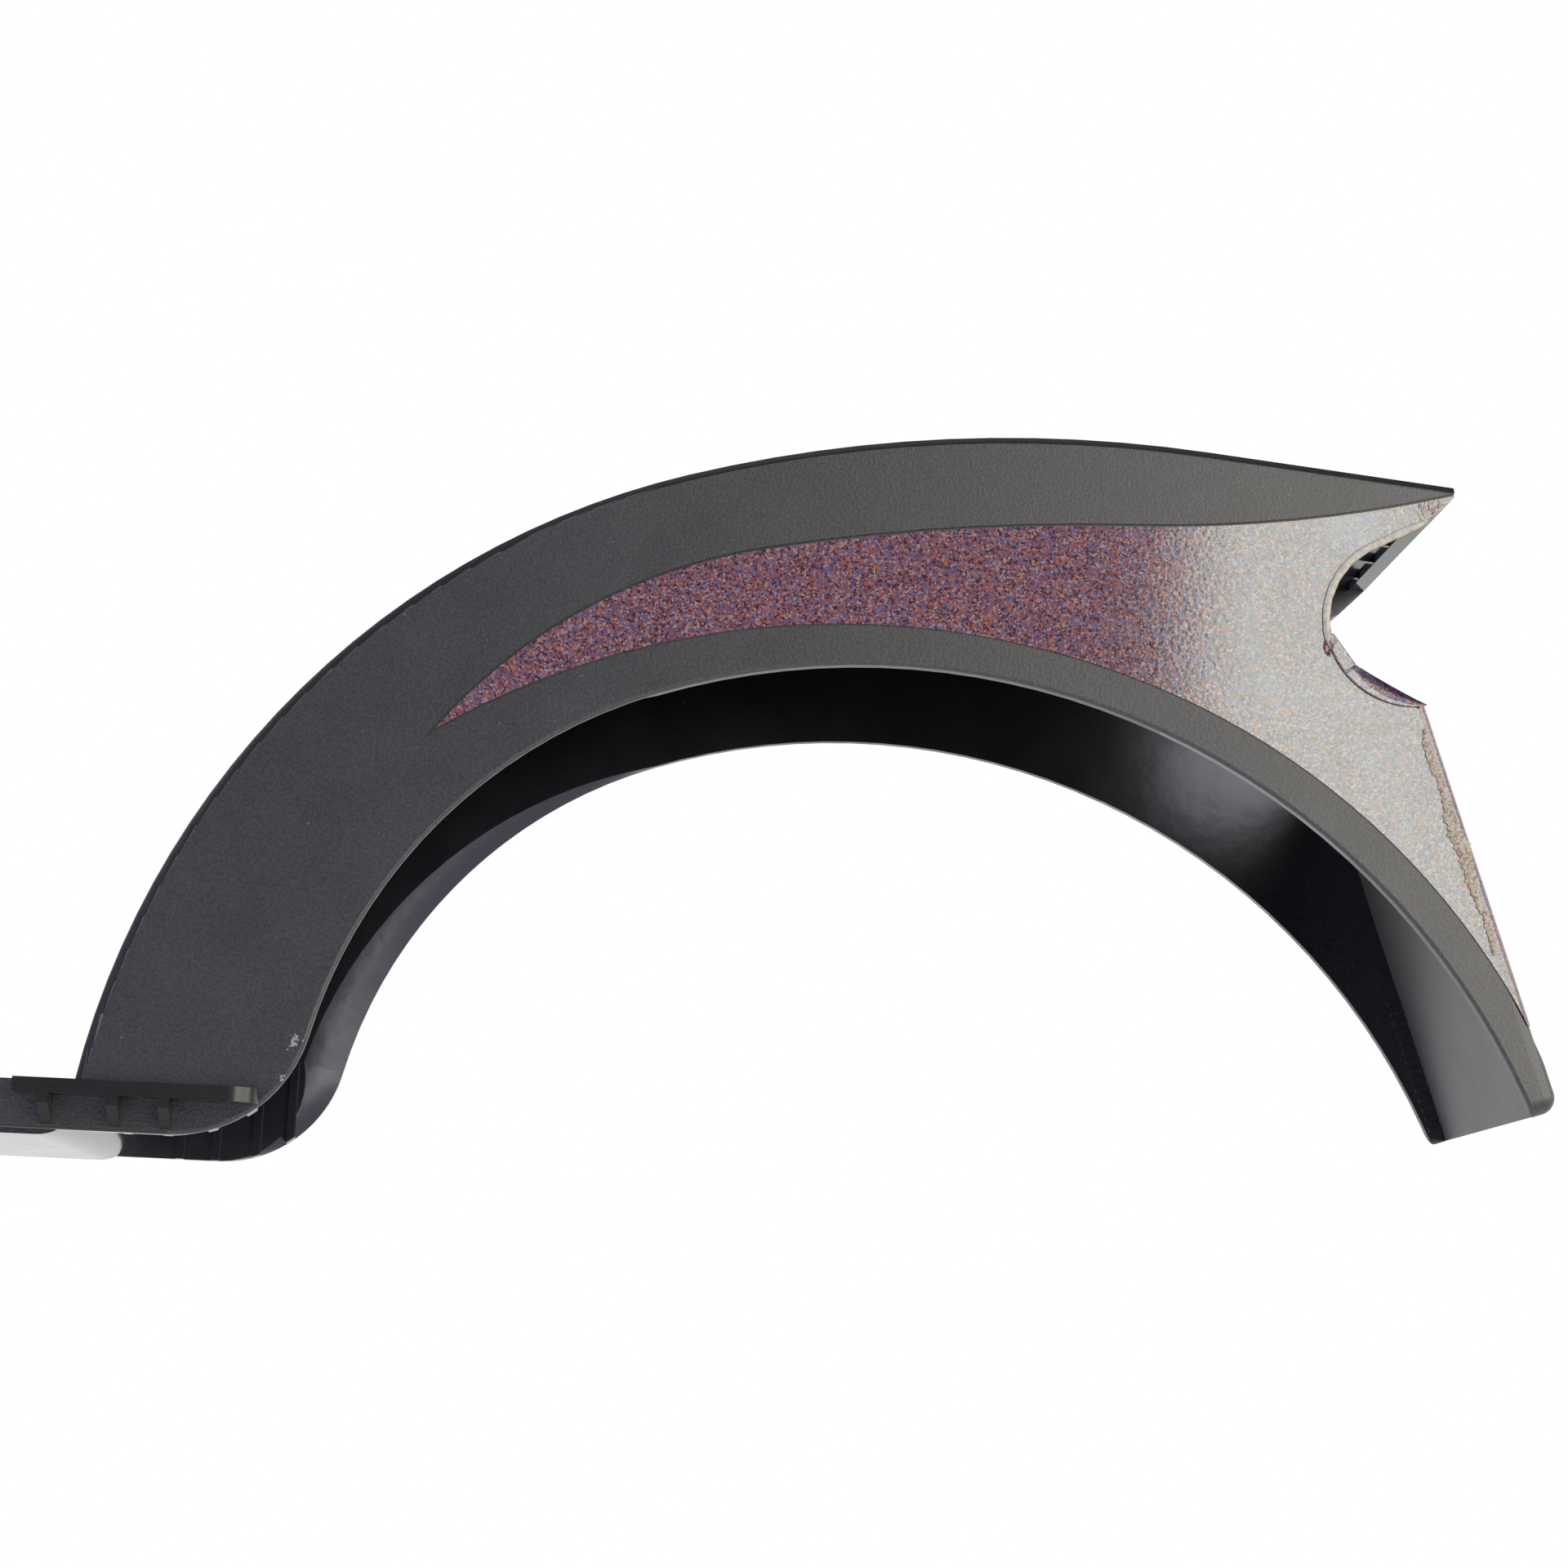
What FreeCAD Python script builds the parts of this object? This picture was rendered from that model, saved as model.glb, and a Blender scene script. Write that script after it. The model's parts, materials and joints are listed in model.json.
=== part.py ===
"""Rear mudguard of a kick scooter: a moulded plastic hood over the wheel with a
fixing tongue at its front, a forked tail for a lamp, and a reflective film let
into each cheek.

Millimetres. +X runs to the rear, +Z up, and the part is alike on both sides of
y = 0. The origin is on the tongue's seat, midway between its two screws. The side
view (X, Z) is drawn once and carried across the width.
"""
import FreeCAD, Part
import math
import os

Vector = FreeCAD.Vector

# Hood
width = 90.0
wall = 3.0
crown_base_x = 32.75
crown_lean = 80.2
crown_front_radius = 168.7
crown_front_angle = 63.3
crown_top_radius = 285.5
crown_top_angle = 22.15
visor_run = 52.6
crown_edge_round = 2.0

# Wheel arch, the lower edge of both cheeks
arch_start_x = 52.3
toe_radius = 27.5
toe_angle = 76.5
arch_front_radius = 104.7
arch_front_angle = 57.0
arch_rear_radius = 146.65
arch_rear_angle = 83.7
arch_run_out = 4.9
rim_round = 0.8
rim_wall = 1.3
flare_depth = 9.0
# Sections of the flare: share of the wall cut away, and share of the flare's height left there
flare_sections = ((0.0, 1.0), (0.22, 0.62), (0.58, 0.30), (1.0, 0.0))

# Lamp notch and tail
visor_tip_height = 2.5
visor_lip = 3.6
visor_skin = 1.5
visor_pocket_setback = 6.0
visor_slant_angle = 45.0
notch_radius = 17.6
notch_back = 8.9
notch_drop = 29.9
notch_corner_angle = -77.5
notch_mouth_angle = 117.5
tail_thickness = 6.4
tail_round = 3.6
rear_edge_round = 3.2

# Ribs in the visor's pocket
visor_rib_count = 5
visor_rib_pitch = 15.7
visor_rib_thickness = 1.6
visor_rib_height = 1.6

# Fine ridges inside the cheeks, beside the tail's rear skin, and the tail's bevelled tip
tooth_count = 14
tooth_pitch = 2.3
tooth_thickness = 1.1
tooth_reach = 3.2
tooth_height = 0.6
tooth_start = 3.0
tip_bevel_height = 2.3
tip_bevel_depth = 0.8

# Fixing tongue
tongue_front_x = -16.0
tongue_top = 10.8
skirt_bottom = 1.0
belly_round = 10.0
screw_spacing = 50.0
screw_hole_radius = 2.75
boss_radius = 6.0
tongue_rib_thickness = 2.0
tongue_rib_offsets = (-12.0, 12.0)
tongue_rib_step = 2.5

# Side ledges with their gussets
ledge_front_x = 21.7
ledge_rear_x = 70.1
ledge_reach = 6.0
ledge_thickness = 3.0
ledge_end_round = 5.5
gusset_places = (28.0, 41.7, 51.8)
gusset_thickness = 2.2
gusset_face = 2.0
gusset_foot = 1.0

# Stiffening ribs inside the cheeks, beside the toe
cheek_rib_places = (44.0, 52.0, 61.0, 68.5)
cheek_rib_thickness = 1.8
cheek_rib_reach = 2.0
cheek_rib_top = 24.0

# Reflective film and its recess
film_tip = (98.4, 84.5)
film_upper_angle = 53.7
film_upper_front_radius = 113.8
film_upper_front_angle = -41.8
film_upper_middle_radius = 437.4
film_upper_middle_angle = -10.1
film_upper_rear_radius = 285.0
film_upper_rear_angle = 15.4
film_lower_angle = 33.7
film_lower_front_radius = 168.4
film_lower_front_angle = -53.3
film_lower_rear_radius = 147.5
film_lower_rear_angle = -41.2
film_recess = 0.5
film_thickness = 0.3
film_gap = 0.5
film_wrap = 5.2
film_foot_z = 36.5

# Room left outside the part by the cutting shapes
beyond = 30.0

half = width / 2.0


class Trail:
    """A run of straight lines and tangent arcs in the side view."""

    def __init__(self, x, z, lean):
        self.here = Vector(x, 0, z)
        self.lean = math.radians(lean)
        self.edges = []

    def to(self, x, z):
        """Straight to a given point."""
        there = Vector(x, 0, z)
        self.edges.append(Part.LineSegment(self.here, there).toShape())
        self.lean = math.atan2(there.z - self.here.z, there.x - self.here.x)
        self.here = there
        return self

    def line(self, length):
        """Straight on."""
        return self.to(self.here.x + length * math.cos(self.lean), self.here.z + length * math.sin(self.lean))

    def arc(self, radius, turn):
        """Round an arc that leaves along the present lean; a positive turn climbs."""
        side = math.copysign(1.0, turn)
        centre = self.here + Vector(-math.sin(self.lean), 0, math.cos(self.lean)) * (side * radius)
        start = self.lean - side * math.pi / 2
        swing = math.radians(turn)
        middle = centre + Vector(math.cos(start + swing / 2), 0, math.sin(start + swing / 2)) * radius
        there = centre + Vector(math.cos(start + swing), 0, math.sin(start + swing)) * radius
        self.edges.append(Part.Arc(self.here, middle, there).toShape())
        self.lean += swing
        self.here = there
        return self

    def around(self, centre, radius, start, end):
        """Round a circle of known centre between two angles."""
        ends = []
        for angle in (start, (start + end) / 2, end):
            ends.append(centre + Vector(math.cos(angle), 0, math.sin(angle)) * radius)
        self.edges.append(Part.Arc(*ends).toShape())
        self.here = ends[-1]
        return self

    def close(self):
        """Straight back to the start, as a face."""
        self.to(self.edges[0].Vertexes[0].X, self.edges[0].Vertexes[0].Z)
        return Part.Face(Part.Wire(self.edges))


def across(face, low, high):
    """Carry a side-view face from y = low to y = high."""
    moved = face.copy()
    moved.translate(Vector(0, low, 0))
    return moved.extrude(Vector(0, high - low, 0))


def block(x, y, z):
    """Box between pairs of limits."""
    return Part.makeBox(x[1] - x[0], y[1] - y[0], z[1] - z[0], Vector(x[0], y[0], z[0]))


def mirrored(shape):
    """The same shape on the other side of the hood's middle plane."""
    return shape.mirror(Vector(0, 0, 0), Vector(0, 1, 0))


def unit(lean):
    """Unit vector at an angle in degrees in the side view."""
    return Vector(math.cos(math.radians(lean)), 0, math.sin(math.radians(lean)))


def crossing(here, lean, there, other_lean):
    """Where two lines of the side view cross, each given by a point and its angle in degrees."""
    side = unit(other_lean + 90)
    return here + unit(lean) * ((there - here).dot(side) / unit(lean).dot(side))


def crown_trail(inset):
    """Crown line from its base to the visor tip, moved inwards by an inset."""
    base = Vector(crown_base_x, 0, tongue_top) + unit(crown_lean - 90) * inset
    trail = Trail(base.x, base.z, crown_lean)
    trail.arc(crown_front_radius - inset, -crown_front_angle)
    trail.arc(crown_top_radius - inset, -crown_top_angle)
    return trail


def arch_trail():
    """Lower edge of a cheek from the toe to the tail."""
    trail = Trail(arch_start_x, skirt_bottom, 0)
    trail.arc(toe_radius, toe_angle)
    trail.arc(arch_front_radius, -arch_front_angle)
    trail.arc(arch_rear_radius, -arch_rear_angle)
    return trail.line(arch_run_out)


visor_lean = crown_lean - crown_front_angle - crown_top_angle
visor_tip = crown_trail(0).line(visor_run).here
visor_under = visor_tip + Vector(0, 0, -visor_tip_height)
notch_centre = visor_tip + Vector(-notch_back, 0, -notch_drop)
rear_top = notch_centre + unit(notch_corner_angle) * notch_radius
arch_end = arch_trail().here

# The rear edge runs from the notch to the tail, which stands tail_thickness behind the arch's end
rear_run = math.hypot(arch_end.x - rear_top.x, arch_end.z - rear_top.z)
rear_lean = math.degrees(math.atan2(arch_end.z - rear_top.z, arch_end.x - rear_top.x)
                         + math.asin(tail_thickness / rear_run))
rear_out = unit(rear_lean + 90)
rear_foot = arch_end + rear_out * tail_thickness


def side_view(rear_inset):
    """Outline of a cheek, with its rear edge moved inwards by rear_inset."""
    trail = arch_trail()
    foot = rear_foot - rear_out * rear_inset
    shoulder = foot + unit(rear_lean + 180) * tail_round
    heel = foot - rear_out * tail_round
    elbow = foot + (unit(rear_lean + 180) - rear_out) * tail_round
    trail.to(heel.x, heel.z)
    trail.edges.append(Part.Arc(heel, elbow + (unit(rear_lean) + rear_out) * (tail_round * math.sqrt(0.5)),
                                shoulder).toShape())
    trail.here = shoulder
    # The rear edge meets the notch circle where the inset line crosses it
    reach = rear_top - rear_out * rear_inset - notch_centre
    along = unit(rear_lean)
    middle = reach.dot(along)
    meet = notch_centre + reach - along * (middle - math.copysign(
        math.sqrt(notch_radius ** 2 - reach.Length ** 2 + middle ** 2), middle))
    trail.to(meet.x, meet.z)
    start = math.atan2(meet.z - notch_centre.z, meet.x - notch_centre.x)
    end = math.radians(notch_mouth_angle - 360)
    trail.around(notch_centre, notch_radius, start, end)
    # The notch leaves its circle straight and meets the slanted edge under the visor's tip
    mouth = crossing(trail.here, notch_mouth_angle - 90, visor_under, visor_slant_angle)
    trail.to(mouth.x, mouth.z)
    trail.to(visor_under.x, visor_under.z)
    trail.to(visor_tip.x, visor_tip.z)
    crown = crown_trail(0).line(visor_run)
    trail.edges.extend(reversed(crown.edges))
    trail.here = Vector(crown_base_x, 0, tongue_top)
    drop = tongue_top - skirt_bottom
    trail.to(crown_base_x - drop / math.tan(math.radians(crown_lean)), skirt_bottom)
    return trail.close()


def edges_where(shape, test):
    """Edges of a shape whose middle point passes a test."""
    found = []
    for edge in shape.Edges:
        middle = edge.valueAt((edge.FirstParameter + edge.LastParameter) / 2)
        if test(edge, middle):
            found.append(edge)
    return found


def distance_to_rear(point):
    """Distance of a point from the rear edge's plane."""
    return abs((Vector(point.x, 0, point.z) - rear_foot).dot(rear_out))


def form(inset):
    """Outer form of the hood, shrunk by an inset at the cheeks and the rear edge."""
    side = half - inset
    solid = across(side_view(inset), -side, side)
    rear = edges_where(solid, lambda edge, p: abs(abs(p.y) - side) < 1e-6
                       and abs(distance_to_rear(p) - inset) < 1e-6)
    return solid.makeFillet(rear_edge_round - inset, rear)


def cheek_edges(solid, edges):
    """Edges of a solid that lie on the cheeks' outer faces along a run of the side view."""
    line = Part.Wire(edges)

    def on_line(edge, p):
        flat = Part.Vertex(Vector(p.x, 0, p.z))
        return abs(abs(p.y) - half) < 1e-6 and line.distToShape(flat)[0] < 1e-6

    return edges_where(solid, on_line)


def rounded_form():
    """Outer form with its crown edges and the rims of its cheeks rounded."""
    solid = form(0)
    solid = solid.makeFillet(crown_edge_round, cheek_edges(solid, crown_trail(0).line(visor_run).edges))
    return solid.makeFillet(rim_round, cheek_edges(solid, arch_trail().edges))


def inside():
    """Side view of the wheel's room, open below, with the tongue's belly rounded up into the crown and a pocket
    in the visor, and the X where the belly starts to round up."""
    inner_base = Vector(crown_base_x, 0, tongue_top) + unit(crown_lean - 90) * wall
    climb = belly_round * (1 - math.cos(math.radians(crown_lean)))
    back = (inner_base.z - climb) / math.tan(math.radians(crown_lean))
    belly_end = inner_base.x - back - belly_round * math.sin(math.radians(crown_lean))
    trail = Trail(belly_end, -beyond, 90)
    trail.to(belly_end, 0)
    trail.lean = 0
    trail.arc(belly_round, crown_lean)
    trail.to(inner_base.x, inner_base.z)
    crown = crown_trail(wall)
    trail.edges.extend(crown.edges)
    trail.here = crown.here
    trail.lean = crown.lean
    trail.line(visor_pocket_setback)
    pocket = trail.here + unit(visor_lean + 90) * (wall - visor_skin)
    trail.to(pocket.x, pocket.z)
    lip = crossing(pocket, visor_lean, visor_tip - Vector(visor_lip, 0, 0), 90)
    trail.to(lip.x, lip.z)
    trail.to(lip.x, visor_under.z)
    trail.to(visor_tip.x + beyond, visor_under.z)
    trail.to(visor_tip.x + beyond, notch_centre.z)
    inner_rear = rear_foot - rear_out * wall
    top = crossing(inner_rear, rear_lean, notch_centre, 0)
    trail.to(top.x, top.z)
    low = inner_rear + unit(rear_lean) * beyond
    trail.to(low.x, low.z)
    trail.to(low.x, -beyond)
    return trail.close(), belly_end


def lifted(edge, share, lift):
    """Point above the arch by a lift, at a share of one of the arch's edges."""
    parameter = edge.FirstParameter + (edge.LastParameter - edge.FirstParameter) * share
    ahead = edge.tangentAt(parameter)
    return edge.valueAt(parameter) + Vector(-ahead.z, 0, ahead.x) * lift


def flare():
    """Hollow in the near cheek's inner face that curves out to a thin rim, deepest where the toe joins the arch."""
    toe, front = arch_trail().edges[:2]
    start = lifted(toe, 0, 0)
    end = lifted(front, 1, 0)
    rings = []
    for depth_share, lift_share in flare_sections:
        lift = flare_depth * lift_share
        neck = lifted(toe, 1, lift)
        corners = [end, Vector(end.x, 0, -beyond), Vector(start.x, 0, -beyond), start]
        ring = Part.Wire([Part.Arc(start, lifted(toe, 0.5, lift * 0.3), neck).toShape(),
                          Part.Arc(neck, lifted(front, 0.5, lift * 0.6), end).toShape()]
                         + Part.makePolygon(corners).Edges)
        ring.translate(Vector(0, wall - half - (wall - rim_wall) * depth_share, 0))
        rings.append(ring)
    return Part.makeLoft(rings, True, False)


def tongue(belly_end):
    """Fixing tongue: a tray with a smooth belly, open on top, with two screw bosses."""
    rear_x = crown_base_x + wall
    solid = block((tongue_front_x, rear_x), (-half, half), (skirt_bottom, tongue_top))
    lower = edges_where(solid, lambda edge, p: abs(p.z - skirt_bottom) < 1e-6 and abs(abs(p.y) - half) < 1e-6)
    solid = solid.makeFillet(rim_round, lower)
    belly_side = half - wall
    solid = solid.fuse(block((tongue_front_x, rear_x), (-belly_side, belly_side), (0, tongue_top)))
    trail = Trail(tongue_front_x + wall, wall, 0)
    trail.to(belly_end, wall)
    trail.arc(belly_round - wall, crown_lean)
    trail.to(crown_base_x, tongue_top)
    trail.to(crown_base_x, tongue_top + beyond)
    trail.to(tongue_front_x + wall, tongue_top + beyond)
    tray = across(trail.close(), -belly_side, belly_side)
    solid = solid.cut(tray)
    rib_top = tongue_top - tongue_rib_step
    for y in tongue_rib_offsets:
        rib = block((tongue_front_x, rear_x), (y - tongue_rib_thickness / 2, y + tongue_rib_thickness / 2),
                    (wall / 2, rib_top))
        solid = solid.fuse(rib)
    for y in (-screw_spacing / 2, screw_spacing / 2):
        boss = Part.makeCylinder(boss_radius, tongue_top - wall / 2, Vector(0, y, wall / 2))
        solid = solid.fuse(boss)
    for y in (-screw_spacing / 2, screw_spacing / 2):
        solid = solid.cut(Part.makeCylinder(screw_hole_radius, tongue_top + beyond, Vector(0, y, -beyond / 2)))
    return solid


def ledge():
    """Side ledge on the near cheek with its gussets, rooted inside the wall."""
    low = tongue_top - ledge_thickness
    outer = -half - ledge_reach
    plate = block((ledge_front_x, ledge_rear_x), (outer, wall / 2 - half), (low, tongue_top))
    corner = edges_where(plate, lambda edge, p: abs(p.x - ledge_rear_x) < 1e-6 and abs(p.y - outer) < 1e-6)
    solid = plate.makeFillet(ledge_end_round, corner)
    for x in gusset_places:
        corners = ((wall / 2 - half, tongue_top - wall / 2), (outer, low), (outer, low - gusset_face),
                   (-half, skirt_bottom + gusset_foot), (wall / 2 - half, skirt_bottom + gusset_foot))
        points = [Vector(x - gusset_thickness / 2, y, z) for y, z in corners]
        points.append(points[0])
        solid = solid.fuse(Part.Face(Part.makePolygon(points)).extrude(Vector(gusset_thickness, 0, 0)))
    return solid


def cheek_ribs(outline):
    """Upright ribs on the near cheek's inner face, trimmed by the cheek's outline."""
    ribs = []
    root = rim_wall / 2 - half
    for x in cheek_rib_places:
        rib = block((x - cheek_rib_thickness / 2, x + cheek_rib_thickness / 2),
                    (root, wall - half + cheek_rib_reach), (0, cheek_rib_top))
        ribs.append(rib.common(outline))
    return ribs


def visor_ribs():
    """Fore-and-aft ribs in the visor's pocket, flush with the lip and rooted in it."""
    run = visor_run - visor_pocket_setback
    trail = Trail(visor_tip.x - visor_lip / 2, visor_under.z, visor_lean + 180)
    trail.line(run)
    trail.lean = math.radians(visor_lean + 90)
    trail.line(visor_rib_height)
    trail.lean = math.radians(visor_lean)
    trail.line(run)
    face = trail.close()
    ribs = []
    for index in range(visor_rib_count):
        y = (index - (visor_rib_count - 1) / 2) * visor_rib_pitch
        ribs.append(across(face, y - visor_rib_thickness / 2, y + visor_rib_thickness / 2))
    return ribs


def tail_teeth(outline):
    """Fine ridges on the near cheek's inner face beside the rear skin, trimmed by the cheek's outline."""
    teeth = []
    for index in range(tooth_count):
        start = rear_foot - rear_out * (wall / 2) + unit(rear_lean + 180) * (tooth_start + index * tooth_pitch)
        trail = Trail(start.x, start.z, rear_lean - 90)
        trail.line(wall / 2 + tooth_reach)
        trail.lean = math.radians(rear_lean + 180)
        trail.line(tooth_thickness)
        trail.lean = math.radians(rear_lean + 90)
        trail.line(wall / 2 + tooth_reach)
        tooth = across(trail.close(), rim_wall / 2 - half, wall - half + tooth_height)
        teeth.append(tooth.common(outline))
    return teeth


def tip_bevel():
    """Wedge that bevels the near cheek at the tail's tip."""
    margin = wall
    places = ((-margin, -half - margin), (-margin, tip_bevel_depth * (1 + margin / tip_bevel_height) - half),
              (tip_bevel_height, -half), (tip_bevel_height, -half - margin))
    start = rear_foot + rear_out * margin
    points = [start + unit(rear_lean + 180) * climb + Vector(0, y, 0) for climb, y in places]
    points.append(points[0])
    return Part.Face(Part.makePolygon(points)).extrude(rear_out * -(tail_thickness + 2 * margin))


def film_region(gap):
    """Side-view patch that the film covers, run out past the rear edge and shrunk by a gap."""
    upper = Trail(film_tip[0], film_tip[1], film_upper_angle)
    upper.arc(film_upper_front_radius, film_upper_front_angle)
    upper.arc(film_upper_middle_radius, film_upper_middle_angle)
    upper.arc(film_upper_rear_radius, film_upper_rear_angle)
    lower = Trail(film_tip[0], film_tip[1], film_lower_angle)
    lower.arc(film_lower_front_radius, film_lower_front_angle)
    lower.arc(film_lower_rear_radius, film_lower_rear_angle)
    lower.line(beyond)
    upper.to(lower.here.x + beyond, upper.here.z + beyond)
    upper.to(lower.here.x + beyond, lower.here.z)
    upper.to(lower.here.x, lower.here.z)
    face = Part.Face(Part.Wire(upper.edges + list(reversed(lower.edges))))
    if gap:
        face = face.makeOffset2D(-gap)
    return face


def film_layer(gap, outer_inset, inner_inset):
    """Skin of the near cheek between two insets, within the film's patch."""
    zone = across(film_region(gap), -half - beyond, film_wrap - half)
    return zone.common(form(outer_inset)).cut(form(inner_inset))


def reflective_film():
    """Film on the near cheek, laid in its recess a gap short of the border and cut level at its foot."""
    layer = film_layer(film_gap, film_recess - film_thickness, film_recess)
    return layer.cut(block((film_tip[0], visor_tip.x + beyond), (-half, 0), (0, film_foot_z)))


def mudguard():
    """The moulded shell as one solid."""
    outer = rounded_form()
    outline = across(side_view(0), -half, half)
    room, belly_end = inside()
    near_flare = flare()
    hollows = [across(room, wall - half, half - wall), near_flare, mirrored(near_flare)]
    shell = outer.fuse(tongue(belly_end)).cut(hollows)
    for rib in cheek_ribs(outline) + tail_teeth(outline):
        shell = shell.fuse([rib, mirrored(rib)])
    shell = shell.fuse(visor_ribs())
    bevel = tip_bevel()
    shell = shell.cut([bevel, mirrored(bevel)])
    near_ledge = ledge()
    shell = shell.fuse([near_ledge, mirrored(near_ledge)])
    recess = film_layer(0, 0, film_recess)
    shell = shell.cut([recess, mirrored(recess)])
    return shell.removeSplitter()


os.makedirs("parts", exist_ok=True)
shell = mudguard()
film = reflective_film()
nodes = {
    "mudguard_shell": shell,
    "reflective_film_left": film,
    "reflective_film_right": mirrored(film),
}
for name, shape in nodes.items():
    shape.exportStep("parts/" + name + ".step")
    print(name, len(shape.Solids), shape.isValid(), round(shape.Volume, 1), shape.BoundBox)
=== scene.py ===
"""Looks of a kick scooter's rear mudguard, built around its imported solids.

The moulded shell and the two reflective films keep their solids and get procedural finishes here. The
film's turned edges, which are thinner than the solids hold, are new surfaces: the rolled bead round each
lamp notch, the snipped flap under it and the crease down each rear edge.
"""

import json
import logging
import math
from dataclasses import dataclass
from enum import Enum
from typing import Any, Dict, List, Optional, Sequence, Tuple

import bpy
import numpy as np
from mathutils import Matrix, Vector

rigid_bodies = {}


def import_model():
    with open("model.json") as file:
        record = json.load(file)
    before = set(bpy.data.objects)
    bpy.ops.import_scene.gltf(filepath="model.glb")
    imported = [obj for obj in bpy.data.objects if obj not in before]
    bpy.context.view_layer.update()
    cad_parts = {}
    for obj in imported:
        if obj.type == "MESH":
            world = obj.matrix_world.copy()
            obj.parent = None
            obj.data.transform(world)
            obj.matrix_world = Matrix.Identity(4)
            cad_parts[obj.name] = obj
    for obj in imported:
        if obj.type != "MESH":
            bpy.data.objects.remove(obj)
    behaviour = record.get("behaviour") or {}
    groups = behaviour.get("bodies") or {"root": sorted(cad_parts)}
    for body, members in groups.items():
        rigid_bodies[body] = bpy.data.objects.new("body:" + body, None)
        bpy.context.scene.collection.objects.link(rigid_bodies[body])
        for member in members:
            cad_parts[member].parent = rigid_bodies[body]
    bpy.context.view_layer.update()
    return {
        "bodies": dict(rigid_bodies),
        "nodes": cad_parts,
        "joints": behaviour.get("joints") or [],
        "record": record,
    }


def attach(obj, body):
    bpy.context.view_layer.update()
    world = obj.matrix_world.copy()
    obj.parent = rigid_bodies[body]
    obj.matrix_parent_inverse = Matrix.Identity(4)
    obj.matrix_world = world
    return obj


LOG = logging.getLogger("mudguard")
MM = 0.001
CHEEK_Y_MM = 45.0
BODY = "root"
PHOTO_SIDE = 1920.0
CREASED_FLAKES = ((0.0, "#b5a69a"), (0.3, "#8c7568"), (0.5, "#c2b6ad"), (0.75, "#a08a7e"))
SHADED_FLAKES = ((0.0, "#2a1c2e"), (0.3, "#4d3654"), (0.6, "#3a2a44"), (0.85, "#5c4464"))


class Side(Enum):
    """The two cheeks: the sign of their Y."""

    LEFT = -1.0
    RIGHT = 1.0


def linear(hex_colour: str, alpha: float = 1.0) -> Tuple[float, float, float, float]:
    """Turn an sRGB hex colour into linear values.

    Args:
        hex_colour: Six hex digits after a hash sign.
        alpha: Opacity to carry along.

    Returns:
        Red, green, blue and alpha as Blender's sockets take them.
    """
    srgb = np.array([int(hex_colour[i:i + 2], 16) for i in (1, 3, 5)]) / 255.0
    low = srgb / 12.92
    high = ((srgb + 0.055) / 1.055) ** 2.4
    red, green, blue = np.where(srgb <= 0.04045, low, high)
    return float(red), float(green), float(blue), alpha


def add_node(
    tree: bpy.types.NodeTree,
    kind: str,
    settings: Optional[Dict[str, Any]] = None,
    values: Optional[Dict[Any, Any]] = None,
    links: Optional[Dict[Any, bpy.types.NodeSocket]] = None,
) -> bpy.types.Node:
    """Add one node to a tree with its settings, socket values and incoming links.

    Args:
        tree: Node tree to add to.
        kind: Blender's name for the node type.
        settings: Attributes of the node itself.
        values: Input socket, by name or number, to its unlinked value.
        links: Input socket, by name or number, to the output that feeds it.

    Returns:
        The new node.
    """
    node = tree.nodes.new(kind)
    for name, value in (settings or {}).items():
        setattr(node, name, value)
    for socket, value in (values or {}).items():
        node.inputs[socket].default_value = value
    for socket, source in (links or {}).items():
        tree.links.new(source, node.inputs[socket])
    return node


def set_ramp(node: bpy.types.Node, stops: Sequence[Tuple[float, str]], steps: bool = False) -> None:
    """Give a colour ramp its stops.

    Args:
        node: The ColorRamp node.
        stops: Positions from 0 to 1 with their sRGB hex colours.
        steps: True for flat fields of colour instead of blends.
    """
    ramp = node.color_ramp
    ramp.interpolation = "CONSTANT" if steps else "LINEAR"
    while len(ramp.elements) < len(stops):
        ramp.elements.new(1.0)
    for element, (position, colour) in zip(ramp.elements, stops):
        element.position = position
        element.color = linear(colour)


def new_material(name: str) -> Tuple[bpy.types.Material, bpy.types.NodeTree]:
    """Make an empty node material.

    Args:
        name: Name of the material.

    Returns:
        The material and its node tree.
    """
    material = bpy.data.materials.new(name)
    material.use_nodes = True
    material.node_tree.nodes.clear()
    return material, material.node_tree


def per_mm(size_mm: float) -> float:
    """Texture scale, in cells for each metre, of a pattern whose cells are size_mm wide."""
    return 1.0 / (size_mm * MM)


def nearness(
    tree: bpy.types.NodeTree,
    place: bpy.types.NodeSocket,
    places_mm: Sequence[Tuple[float, float, float]],
    top: float,
) -> bpy.types.NodeSocket:
    """Soft spots on the left cheek: each fades from top at its middle to 0 at its reach, and spots add up.

    Args:
        tree: Node tree of the material.
        place: Object coordinates.
        places_mm: X, Z and reach of each spot.
        top: Value at the middle of a spot.

    Returns:
        The sum of the spots.
    """
    total = None
    for x, z, reach in places_mm:
        centre = (x * MM, Side.LEFT.value * CHEEK_Y_MM * MM, z * MM)
        gap = add_node(tree, "ShaderNodeVectorMath", {"operation": "DISTANCE"}, {1: centre},
                       {0: place}).outputs["Value"]
        near = add_node(tree, "ShaderNodeMapRange", values={1: reach * MM, 2: 0.0, 3: 0.0, 4: top},
                        links={0: gap}).outputs[0]
        total = near if total is None else add_node(tree, "ShaderNodeMath", {"operation": "ADD"},
                                                    links={0: total, 1: near}).outputs[0]
    return total


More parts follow.
